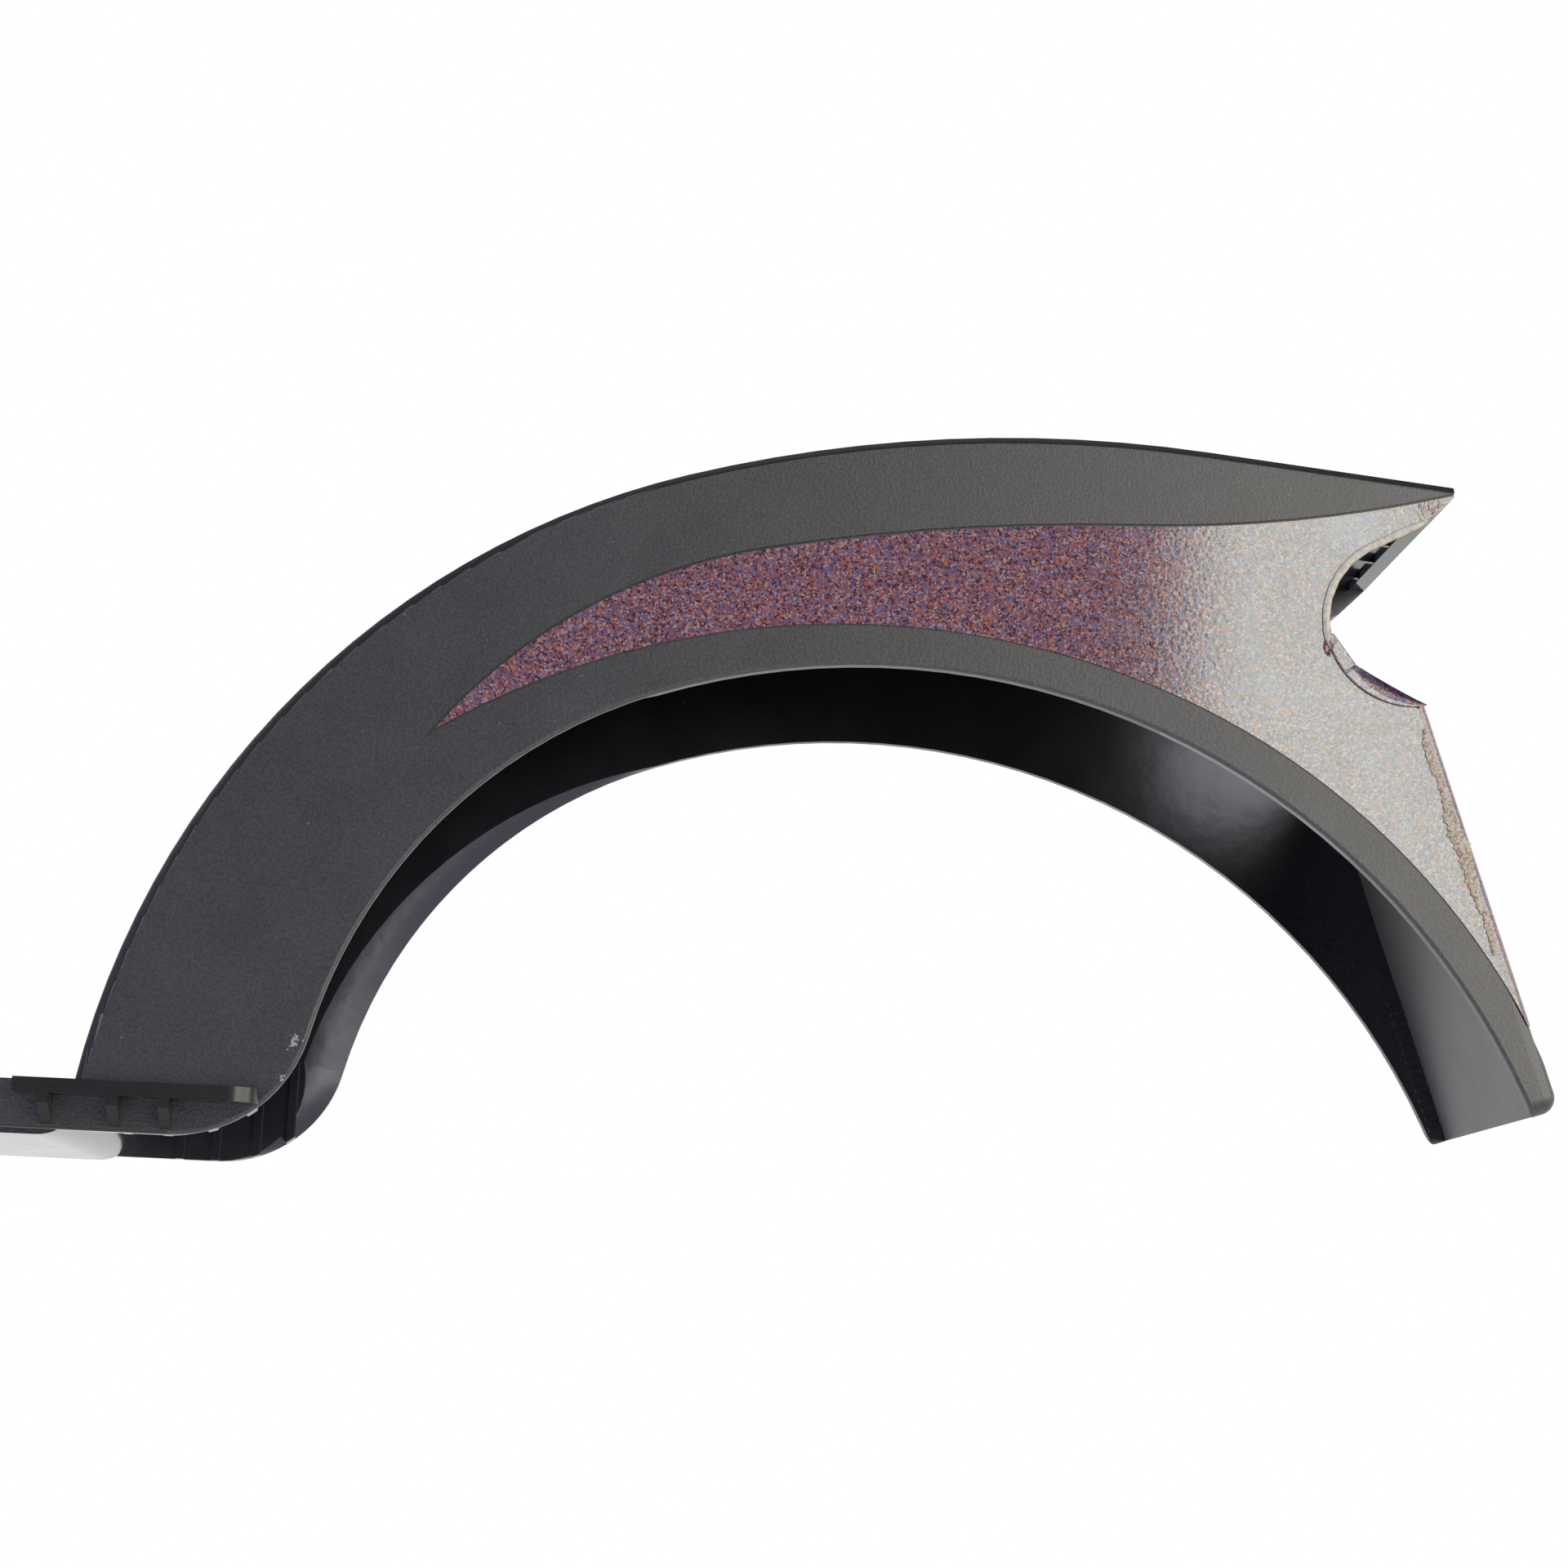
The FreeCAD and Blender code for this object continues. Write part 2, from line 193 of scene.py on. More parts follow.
@dataclass(frozen=True)
class MouldedPlastic:
    """Black ABS, injection moulded.

    What came off the etched cavity has a grain that spreads the gloss into a satin sheen, brighter towards
    the light. What came off the polished core mirrors what is beside it, bent by the slight waves and the
    bow, a slope towards the rear, that the plastic shrinks into. Handling leaves pale scuffs on the rim.
    """

    name: str
    base: str
    base_pale: str
    roughness: float
    ior: float
    grain_height_mm: float
    wave_height_mm: float = 0.0
    gloss_tint: str = "#ffffff"
    bow: float = 0.0
    grain_mm: float = 0.55
    mottle_mm: float = 14.0
    uneven: float = 0.02
    scuff: str = "#9c9da8"
    scuff_mm: float = 0.7
    scuff_strength: float = 0.38
    scuff_places_mm: Tuple[Tuple[float, float, float], ...] = ((76.3, 20.5, 2.6), (74.1, 13.7, 1.7))

    def build(self) -> bpy.types.Material:
        """Build the node tree.

        Returns:
            The finished material.
        """
        material, tree = new_material(self.name)
        place = add_node(tree, "ShaderNodeTexCoord").outputs["Object"]
        mottle = add_node(tree, "ShaderNodeTexNoise",
                          values={"Scale": per_mm(self.mottle_mm), "Detail": 6.0},
                          links={"Vector": place}).outputs["Fac"]
        # The grain is drawn coarser than the etch, so that it shows at the render's size
        grain = add_node(tree, "ShaderNodeTexNoise", values={"Scale": per_mm(self.grain_mm), "Detail": 2.0},
                         links={"Vector": place}).outputs["Fac"]
        speck = add_node(tree, "ShaderNodeMapRange", values={1: 0.36, 2: 0.64}, links={0: grain}).outputs[0]
        tone = add_node(tree, "ShaderNodeMix", {"data_type": "RGBA"},
                        {6: linear(self.base), 7: linear(self.base_pale)}, {0: speck}).outputs[2]
        smoothest, roughest = self.roughness - self.uneven, self.roughness + self.uneven
        rough = add_node(tree, "ShaderNodeMapRange", values={1: 0.3, 2: 0.7, 3: smoothest, 4: roughest},
                         links={0: mottle}).outputs[0]
        rearwards = add_node(tree, "ShaderNodeSeparateXYZ", links={0: place}).outputs["X"]
        bowed = add_node(tree, "ShaderNodeBump", {"invert": True}, {"Strength": 1.0, "Distance": self.bow},
                         {"Height": rearwards}).outputs[0]
        wave = add_node(tree, "ShaderNodeBump",
                        values={"Strength": 1.0, "Distance": self.wave_height_mm * MM},
                        links={"Height": mottle, "Normal": bowed}).outputs[0]
        bump = add_node(tree, "ShaderNodeBump",
                        values={"Strength": 0.7, "Distance": self.grain_height_mm * MM},
                        links={"Height": grain, "Normal": wave}).outputs[0]
        scuffs = self.scuff_mask(tree, place)
        colour = add_node(tree, "ShaderNodeMix", {"data_type": "RGBA"}, {7: linear(self.scuff)},
                          {0: scuffs, 6: tone}).outputs[2]
        shader = add_node(tree, "ShaderNodeBsdfPrincipled",
                          values={"IOR": self.ior, "Specular Tint": linear(self.gloss_tint)},
                          links={"Base Color": colour, "Roughness": rough, "Normal": bump})
        add_node(tree, "ShaderNodeOutputMaterial", links={"Surface": shader.outputs[0]})
        return material

    def scuff_mask(self, tree: bpy.types.NodeTree, place: bpy.types.NodeSocket) -> bpy.types.NodeSocket:
        """Pale rubbed spots: fine noise kept only inside small balls on the lower edge.

        Args:
            tree: Node tree of the material.
            place: Object coordinates.

        Returns:
            A mask that is 1 where the plastic is rubbed.
        """
        noise = add_node(tree, "ShaderNodeTexNoise", values={"Scale": per_mm(self.scuff_mm), "Detail": 3.0},
                         links={"Vector": place}).outputs["Fac"]
        near = nearness(tree, place, self.scuff_places_mm, self.scuff_strength)
        raised = add_node(tree, "ShaderNodeMath", {"operation": "ADD"},
                          links={0: noise, 1: near}).outputs[0]
        return add_node(tree, "ShaderNodeMapRange", values={1: 0.74, 2: 0.82}, links={0: raised}).outputs[0]


@dataclass(frozen=True)
class FilmBacking:
    """Finish of the film's cut edge where it rolls over: pale as the film's carrier, and also a painted
    highlight that the curved roll catches.
    """

    name: str = "film_carrier_polyester"
    # Pale colour: the carrier's tone, lightened to paint the highlight on the roll.
    colour: str = "#cbc6be"
    stain: str = "#a89a92"
    # Painted shade where the roll turns down beside the cheek.
    edge: str = "#54443f"
    roughness: float = 0.36
    stain_mm: float = 1.3
    stain_height_mm: float = 0.1

    def build(self) -> bpy.types.Material:
        """Build the node tree: stained in patches, with painted shade where the roll turns down beside the
        cheek.

        Returns:
            The finished material.
        """
        material, tree = new_material(self.name)
        place = add_node(tree, "ShaderNodeTexCoord").outputs["Object"]
        patches = add_node(tree, "ShaderNodeTexNoise",
                           values={"Scale": per_mm(self.stain_mm), "Detail": 4.0},
                           links={"Vector": place}).outputs["Fac"]
        stained = add_node(tree, "ShaderNodeMapRange", values={1: 0.45, 2: 0.7},
                           links={0: patches}).outputs[0]
        tone = add_node(tree, "ShaderNodeMix", {"data_type": "RGBA"},
                        {6: linear(self.colour), 7: linear(self.stain)}, {0: stained}).outputs[2]
        normal = add_node(tree, "ShaderNodeNewGeometry").outputs["Normal"]
        sideways = add_node(tree, "ShaderNodeSeparateXYZ", links={0: normal}).outputs["Y"]
        outward = add_node(tree, "ShaderNodeMath", {"operation": "ABSOLUTE"},
                           links={0: sideways}).outputs[0]
        # Painted shade mask: 1 where the roll's normal turns away from straight out of the cheek.
        turned = add_node(tree, "ShaderNodeMapRange", values={1: 0.72, 2: 0.5},
                          links={0: outward}).outputs[0]
        colour = add_node(tree, "ShaderNodeMix", {"data_type": "RGBA"}, {7: linear(self.edge)},
                          {0: turned, 6: tone}).outputs[2]
        bump = add_node(tree, "ShaderNodeBump",
                        values={"Strength": 0.6, "Distance": self.stain_height_mm * MM},
                        links={"Height": patches}).outputs[0]
        shader = add_node(tree, "ShaderNodeBsdfPrincipled", values={"Roughness": self.roughness},
                          links={"Base Color": colour, "Normal": bump})
        add_node(tree, "ShaderNodeOutputMaterial", links={"Surface": shader.outputs[0]})
        return material


@dataclass(frozen=True)
class GlitterFilm:
    """Metallised reflective film with an embossed clear face.

    Each flake throws its own hue, so in shade the film reads as a speckle of plum, rust and blue, while the
    clear face turns silver where it mirrors a bright panel; its coating takes a little red out of that mirror
    image, and the emboss ripples it.
    """

    name: str = "metallised_reflective_film"
    flakes: Tuple[Tuple[float, str], ...] = (
        (0.00, "#48303c"), (0.15, "#90565a"), (0.32, "#705c82"), (0.46, "#a46c5e"), (0.60, "#6a4a58"),
        (0.76, "#a88e90"), (0.88, "#6a6c94"))
    patch: str = "#8a86a0"
    crease: str = "#7d645c"
    gloss_tint: str = "#e7fffd"
    ior: float = 1.95
    roughness: float = 0.09
    flake_mm: float = 0.40
    emboss_mm: float = 1.0
    emboss_height_mm: float = 0.022
    wrinkle_mm: float = 1.6
    wrinkle_height_mm: float = 0.5
    patch_mm: float = 22.0
    patch_share: float = 0.55
    wear: float = 1.6
    worn_places_mm: Tuple[Tuple[float, float, float], ...] = (
        (308.0, 144.5, 5.5), (286.6, 113.8, 2.6), (327.0, 44.0, 6.0))

    def build(self) -> bpy.types.Material:
        """Build the node tree.

        Returns:
            The finished material.
        """
        material, tree = new_material(self.name)
        place = add_node(tree, "ShaderNodeTexCoord").outputs["Object"]
        cells = add_node(tree, "ShaderNodeTexVoronoi", values={"Scale": per_mm(self.flake_mm)},
                         links={"Vector": place}).outputs["Color"]
        pick = add_node(tree, "ShaderNodeSeparateColor", links={0: cells}).outputs[0]
        flake = add_node(tree, "ShaderNodeValToRGB", links={0: pick})
        set_ramp(flake, self.flakes, steps=True)
        cloud = add_node(tree, "ShaderNodeTexNoise", values={"Scale": per_mm(self.patch_mm), "Detail": 5.0},
                         links={"Vector": place}).outputs["Fac"]
        haze = add_node(tree, "ShaderNodeMapRange",
                        values={1: 0.56, 2: 0.78, 3: 0.0, 4: self.patch_share},
                        links={0: cloud}).outputs[0]
        colour = add_node(tree, "ShaderNodeMix", {"data_type": "RGBA"}, {7: linear(self.patch)},
                          {0: haze, 6: flake.outputs[0]}).outputs[2]
        worn = nearness(tree, place, self.worn_places_mm, self.wear)
        crumpled = add_node(tree, "ShaderNodeMath", {"operation": "MULTIPLY", "use_clamp": True},
                            links={0: worn, 1: cloud}).outputs[0]
        colour = add_node(tree, "ShaderNodeMix", {"data_type": "RGBA"}, {7: linear(self.crease)},
                          {0: crumpled, 6: colour}).outputs[2]
        emboss = add_node(tree, "ShaderNodeTexNoise",
                          values={"Scale": per_mm(self.emboss_mm), "Detail": 2.0},
                          links={"Vector": place}).outputs["Fac"]
        ridges = add_node(tree, "ShaderNodeTexNoise",
                          values={"Scale": per_mm(self.wrinkle_mm), "Detail": 3.0},
                          links={"Vector": place}).outputs["Fac"]
        wrinkle = add_node(tree, "ShaderNodeMath", {"operation": "MULTIPLY"},
                           links={0: ridges, 1: crumpled}).outputs[0]
        wrinkled = add_node(tree, "ShaderNodeBump",
                            values={"Strength": 1.0, "Distance": self.wrinkle_height_mm * MM},
                            links={"Height": wrinkle}).outputs[0]
        bump = add_node(tree, "ShaderNodeBump",
                        values={"Strength": 0.6, "Distance": self.emboss_height_mm * MM},
                        links={"Height": emboss, "Normal": wrinkled}).outputs[0]
        shader = add_node(
            tree, "ShaderNodeBsdfPrincipled",
            values={"Roughness": self.roughness, "IOR": self.ior, "Specular Tint": linear(self.gloss_tint)},
            links={"Base Color": colour, "Normal": bump})
        add_node(tree, "ShaderNodeOutputMaterial", links={"Surface": shader.outputs[0]})
        return material


def grid_object(
    name: str,
    points: np.ndarray,
    material: bpy.types.Material,
    closed: bool = False,
) -> bpy.types.Object:
    """Make a smooth mesh object from a grid of points.

    Args:
        name: Name of the piece.
        points: Array of shape (rows, columns, 3) in metres.
        material: Finish of the piece.
        closed: True where the last column joins the first, as round a tube.

    Returns:
        The object, linked to the scene and riding on the part's body.
    """
    rows, columns = points.shape[:2]
    index = np.arange(rows * columns).reshape(rows, columns)
    if closed:
        index = np.concatenate([index, index[:, :1]], axis=1)
    corners = [index[:-1, :-1], index[:-1, 1:], index[1:, 1:], index[1:, :-1]]
    faces: List[List[int]] = np.stack(corners, axis=-1).reshape(-1, 4).tolist()
    if closed:
        faces += [index[0, :-1][::-1].tolist(), index[-1, :-1].tolist()]
    mesh = bpy.data.meshes.new(name)
    mesh.from_pydata(points.reshape(-1, 3).tolist(), [], faces)
    mesh.polygons.foreach_set("use_smooth", np.ones(len(faces), dtype=bool))
    mesh.materials.append(material)
    piece = bpy.data.objects.new(name, mesh)
    bpy.context.scene.collection.objects.link(piece)
    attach(piece, BODY)
    LOG.info("%s: %d faces", name, len(faces))
    return piece


def thicken(piece: bpy.types.Object, thickness_mm: float) -> None:
    """Give a sheet its thickness, inwards from the drawn face."""
    wall = piece.modifiers.new("thickness", "SOLIDIFY")
    wall.thickness = thickness_mm * MM
    wall.offset = -1.0


def dress(node: bpy.types.Object, material: bpy.types.Material) -> None:
    """Give a solid carried over from the frame one finish all over."""
    node.data.materials.clear()
    node.data.materials.append(material)


class Face(Enum):
    """Kinds of moulded face on the shell, by their place in its list of finishes."""

    ETCHED = 0
    POLISHED = 1
    BELLY = 2
    LEDGE = 3
    SKIRT = 4
    SCOURED = 5
    GUSSET = 6
    EDGE = 7


@dataclass
class Shell:
    """The moulded hood with its tongue, ledges and ribs.

    A face that looks straight one way has that share of its normal above facing, one that mostly looks that
    way above mostly, and one that only leans that way above leaning.
    """

    node: str = "mudguard_shell"
    etched: MouldedPlastic = MouldedPlastic("etched_black_abs", "#0c0e16", "#2d2f38", 0.40, 1.74, 0.06)
    polished: MouldedPlastic = MouldedPlastic(
        "polished_black_abs", "#0a0a0d", "#0f0f13", 0.25, 1.70, 0.006, wave_height_mm=0.15,
        gloss_tint="#e6e9ff", bow=0.034)
    belly: MouldedPlastic = MouldedPlastic("belly_black_abs", "#0f0f11", "#161618", 0.12, 1.53, 0.002)
    ledge: MouldedPlastic = MouldedPlastic("ledge_black_abs", "#121216", "#1b1b20", 0.28, 1.58, 0.01)
    # Paler copy of the etched finish: painted light on the skirt, standing in for the light bounced up from
    # below.
    skirt: MouldedPlastic = MouldedPlastic("skirt_black_abs", "#23242c", "#3b3c45", 0.36, 1.62, 0.11)
    # Much paler copy of the black plastic: painted sheen on the inside of the rear skin, standing in for the
    # light it catches from the bright surroundings behind.
    scoured: MouldedPlastic = MouldedPlastic("scoured_black_abs", "#565657", "#6a6a6b", 0.45, 1.60, 0.02)
    # Darker, duller copy of the ledge finish: painted shade on the gussets' slanted faces under the ledge.
    gusset: MouldedPlastic = MouldedPlastic("gusset_black_abs", "#0c0c0f", "#121216", 0.55, 1.40, 0.01)
    # Darker, duller copy of the etched finish: painted shade on the crown's rounded edges, standing in for
    # the dark they mirror.
    edge: MouldedPlastic = MouldedPlastic("edge_black_abs", "#0a0a0e", "#14151a", 0.50, 1.30, 0.02)
    hub_mm: Tuple[float, float, float] = (190.0, 0.0, 0.0)
    middle_radius_mm: float = 112.0
    belly_top_mm: float = 12.0
    belly_end_mm: float = 45.0
    skirt_top_mm: float = 13.0
    lip_from_mm: Tuple[float, float] = (250.0, 140.0)
    tail_from_mm: float = 290.0
    visor_from_mm: float = 125.0
    edge_from_mm: float = 130.0
    facing: float = 0.9
    mostly: float = 0.5
    leaning: float = 0.15
    side_y_mm: float = CHEEK_Y_MM

    def kinds(self, mesh: bpy.types.Mesh) -> np.ndarray:
        """Tell which kind of moulded face each face is.

        A face is inside, off the polished core, where its normal points back to the hood's middle line, which
        is the circle of middle radius round the wheel's hub on y = 0. The ledges are what stands out beyond
        the cheeks. The belly is what looks down at the seat, under the tongue and where it turns up into the
        hood, and the visor's lip shines like it. The skirt is the cheek's outer face under the ledge; its
        paler finish is painted light, standing in for the light bounced up from below. The gussets' slanted
        faces stand before it, in a darker finish that paints the shade under the ledge. The inside of the
        rear skin, which looks forwards, gets a much paler finish that paints the sheen it catches from the
        bright surroundings. The crown's rounded edges, far out from the hub, get a darker, duller finish that
        paints the dark they mirror.

        Args:
            mesh: The shell's mesh, in metres.

        Returns:
            The number of the finish for each face.
        """
        count = len(mesh.polygons)
        centres, normals = np.empty(count * 3), np.empty(count * 3)
        mesh.polygons.foreach_get("center", centres)
        mesh.polygons.foreach_get("normal", normals)
        centres, normals = centres.reshape(-1, 3), normals.reshape(-1, 3)
        hub = np.array(self.hub_mm) * MM
        radial = (centres - hub) * (1.0, 0.0, 1.0)
        radius = np.linalg.norm(radial, axis=1)
        radial /= radius[:, None]
        middle = hub + radial * self.middle_radius_mm * MM
        inside = np.einsum("ij,ij->i", normals, centres - middle) < 0.0
        ledge = np.abs(centres[:, 1]) > (self.side_y_mm + 0.1) * MM
        belly = ((centres[:, 2] < self.belly_top_mm * MM) & (centres[:, 0] < self.belly_end_mm * MM)
                 & (normals[:, 2] < -self.leaning) & ~ledge)
        lip = ((centres[:, 0] > self.lip_from_mm[0] * MM) & (centres[:, 2] > self.lip_from_mm[1] * MM)
               & (normals[:, 2] < -self.facing))
        sideways = np.abs(normals[:, 1])
        # Skirt faces get the paler finish: painted bounce light from below.
        skirt = (centres[:, 2] < self.skirt_top_mm * MM) & (sideways > self.facing) & ~inside & ~ledge
        rear = centres[:, 0] > self.tail_from_mm * MM
        # Inside of the rear skin gets the paler finish: painted sheen.
        scoured = inside & rear & (normals[:, 0] < -self.mostly)
        slanted = (normals[:, 2] < -self.leaning) & (normals[:, 2] > -self.facing)
        # Gussets get the darker finish: painted shade under the ledge.
        gusset = ledge & slanted & (sideways > self.leaning)
        outward = np.einsum("ij,ij->i", normals, radial)
        rounded = (outward > self.leaning) & (sideways > self.leaning)
        tail = rear & (centres[:, 2] < self.visor_from_mm * MM)
        # Crown's rounded edges get the darker finish: painted shade.
        edge = rounded & (radius > self.edge_from_mm * MM) & ~tail & ~inside & ~ledge
        kind = np.where(inside, Face.POLISHED.value, Face.ETCHED.value)
        kind = np.where(scoured, Face.SCOURED.value, kind)
        kind = np.where(ledge, Face.LEDGE.value, kind)
        kind = np.where(gusset, Face.GUSSET.value, kind)
        kind = np.where(edge, Face.EDGE.value, kind)
        kind = np.where(skirt, Face.SKIRT.value, kind)
        return np.where(belly | lip, Face.BELLY.value, kind)

    def build(self, frame: Dict[str, Any]) -> None:
        """Dress the shell's solid, each kind of face in its own finish.
        """
        mesh = frame["nodes"][self.node].data
        mesh.materials.clear()
        finishes = {
            Face.ETCHED: self.etched, Face.POLISHED: self.polished, Face.BELLY: self.belly,
            Face.LEDGE: self.ledge, Face.SKIRT: self.skirt, Face.SCOURED: self.scoured,
            Face.GUSSET: self.gusset, Face.EDGE: self.edge}
        for face in Face:
            mesh.materials.append(finishes[face].build())
        mesh.polygons.foreach_set("material_index", self.kinds(mesh).astype(np.int32))
        LOG.info("%s dressed in %d finishes", self.node, len(mesh.materials))


@dataclass
class Film:
    """One reflective film on its cheek, with the turned edges that a hand-laid film has.

    Sizes are in millimetres in the side view (X, Z), as the solids have them.
    """

    side: Side
    flat_finish: bpy.types.Material
    creased_finish: bpy.types.Material
    turned_finish: bpy.types.Material
    backing_finish: bpy.types.Material
    face_y: float = 44.8
    notch_centre: Tuple[float, float] = (302.55, 119.9)
    notch_radius: float = 17.6
    notch_mouth_deg: float = 117.5
    mouth_run: float = 12.2
    bead_end_deg: float = 202.0
    bead_across: float = 0.85
    bead_out: float = 0.5
    bead_inset: float = 0.35
    bead_lift: float = 0.15
    flap_from_deg: float = -169.0
    flap_to_deg: float = -79.5
    rear_top: Tuple[float, float] = (306.35, 102.7)
    rear_lean_deg: float = -70.95
    crease_inset: float = 3.0
    crease_span: Tuple[float, float] = (5.0, 54.0)
    crease_half: float = 0.85
    crease_height: float = 0.025
    crease_reach: float = 1.4
    rim_height: float = 0.27
    flap_corner_share: float = 0.32
    flap_turn_share: float = 0.6
    flap_cut: Tuple[Tuple[float, float], ...] = ((286.2, 116.4), (291.0, 110.0), (306.0, 102.2))
    flap_bend: float = 1.1
    flap_inset: float = 0.5
    film_thickness: float = 0.3

    @property
    def word(self) -> str:
        """Name of the side, as the piece names have it."""
        return self.side.name.lower()

    def build(self, frame: Dict[str, Any]) -> None:
        """Dress the film's solid and add its turned edges.
        """
        dress(frame["nodes"]["reflective_film_" + self.word], self.flat_finish)
        self.bead()
        self.crease()
        corner = self.flap_corner_share
        turn = self.flap_turn_share
        front, rear, bend = self.flap_cut[:2], self.flap_cut[1:], self.flap_bend
        self.flap("film_flap_front", (0.0, corner), (0.0, 1.0), front, 0.0, self.flat_finish)
        self.flap("film_flap_rear", (corner, 1.0), (0.0, turn), rear, bend, self.flat_finish)
        # The snip's turned part wears the darker film copy: painted shade.
        self.flap("film_flap_turned", (corner, 1.0), (turn, 1.0), rear, bend, self.turned_finish)

    def place(self, side_view: np.ndarray, y: np.ndarray) -> np.ndarray:
        """Points in metres from side-view places and distances out from the middle plane.

        Args:
            side_view: Array of shape (..., 2) with X and Z in millimetres.
            y: Distance from the middle plane, in millimetres, for this side.

        Returns:
            Array of shape (..., 3).
        """
        return np.stack([side_view[..., 0], self.side.value * y, side_view[..., 1]], axis=-1) * MM

    def facing_out(self, points: np.ndarray) -> np.ndarray:
        """Turn a grid's columns round on the right cheek, so that its faces point outwards on both."""
        return points if self.side is Side.LEFT else points[:, ::-1]

    def bead(self) -> None:
        """Roll the film's cut edge round the notch.

        The path runs straight from the slanted edge to the notch circle and then round it. Every ring across
        the path is an ellipse, and its size wavers along the way and shrinks to a third at both ends.
        """
        straight_rings, round_rings = 30, 90
        turn = np.radians(np.linspace(self.notch_mouth_deg, self.bead_end_deg, round_rings))
        turn = np.concatenate([np.full(straight_rings, turn[0]), turn])
        outward = np.stack([np.cos(turn), np.sin(turn)], axis=-1)
        run_in = np.linspace(self.mouth_run, 0.0, straight_rings, endpoint=False)
        back = np.concatenate([run_in, np.zeros(round_rings)])
        tangent = np.stack([np.sin(turn), -np.cos(turn)], axis=-1)
        circle = np.array(self.notch_centre) + outward * (self.notch_radius + self.bead_inset)
        path = circle + tangent * back[:, None]
        run = np.concatenate([[0.0], np.cumsum(np.linalg.norm(np.diff(path, axis=0), axis=1))])
        waver = 1.0 + 0.06 * np.sin(run * 1.3) + 0.03 * np.sin(run * 3.1 + 1.0)
        ends = np.clip(np.minimum(run, run[-1] - run) / 3.0, 0.0, 1.0)
        size = waver * (0.33 + 0.67 * np.sin(ends * math.pi / 2))
        ring = np.linspace(0.0, 2 * math.pi, 14, endpoint=False)
        across = size[:, None] * self.bead_across * np.cos(ring)
        out = size[:, None] * self.bead_out * np.sin(ring)
        side_view = path[:, None] + outward[:, None] * across[..., None]
        points = self.place(side_view, self.face_y + self.bead_lift + out)
        grid_object("film_bead_" + self.word, self.facing_out(points), self.backing_finish, closed=True)

    def crease(self) -> None:
        """Pinch a ridge into the film beside the rear edge.

        Down the edge runs s; across the ridge runs w from -1 to 1. Its half width and its middle waver as
        sums of sines of s, it narrows to nothing at both ends, and its height falls off as 1 - w squared and
        wavers a little too. The grid runs on past w = 1, so that its edges lie under the film's face.
        """
        lean = math.radians(self.rear_lean_deg)
        along = np.array([math.cos(lean), math.sin(lean)])
        out = np.array([-math.sin(lean), math.cos(lean)])
        s = np.linspace(*self.crease_span, 420)[:, None]
        w = np.linspace(-self.crease_reach, self.crease_reach, 15)[None, :]
        share = (s - s[0]) / (s[-1] - s[0])
        half = self.crease_half * np.sin(share * math.pi) ** 0.5 * (
            1.0 + 0.15 * np.sin(s / 0.53) + 0.15 * np.sin(s / 0.23 + 1.0) + 0.3 * np.sin(s / 4.1 + 0.5))
        middle = -self.crease_inset + 0.3 * np.sin(s / 2.3) + 0.12 * np.sin(s / 0.8 + 0.7)
        side_view = np.array(self.rear_top) + along * s[..., None] + out * (middle + half * w)[..., None]
        y = self.face_y + self.crease_height * (1.0 - w ** 2) * (0.85 + 0.15 * np.sin(s / 0.6))
        points = self.facing_out(self.place(side_view, y))
        thicken(grid_object("film_crease_" + self.word, points, self.creased_finish), self.film_thickness)

    def flap(self, word: str, shares: Tuple[float, float], depths: Tuple[float, float],
             cut: Sequence[Tuple[float, float]], bend: float, finish: bpy.types.Material) -> None:
        """Bridge a stretch of the notch's foot with a straight snip of the film.

        Along the flap runs u from one end of the snip to the other; across it runs v from the notch circle
        to the snip. It lies over the notch's moulded rim and bends inwards as the square of v, most at the
        middle of its length.

        Args:
            word: What the piece's name starts with.
            shares: Where the stretch begins and ends, as shares of the foot's arc.
            depths: Where it begins and ends across, as shares from the notch circle to the snip.
            cut: The snip's two ends.
            bend: How far its edge turns in.
            finish: Material of the stretch.
        """
        u = np.linspace(0.0, 1.0, 30)[:, None]
        v = np.linspace(*depths, 10)[None, :]
        share = shares[0] + (shares[1] - shares[0]) * u
        turn = np.radians(self.flap_from_deg + (self.flap_to_deg - self.flap_from_deg) * share)
        outward = np.stack([np.cos(turn), np.sin(turn)], axis=-1)
        circle = np.array(self.notch_centre) + (self.notch_radius + self.flap_inset) * outward
        snip = np.array(cut[0]) + (np.array(cut[1]) - np.array(cut[0])) * u[..., None]
        side_view = circle + (snip - circle) * v[..., None]
        y = self.face_y + self.rim_height - bend * v ** 2 * np.sin(u * math.pi) ** 0.5
        piece = grid_object(word + "_" + self.word, self.facing_out(self.place(side_view, y)), finish)
        thicken(piece, self.film_thickness)


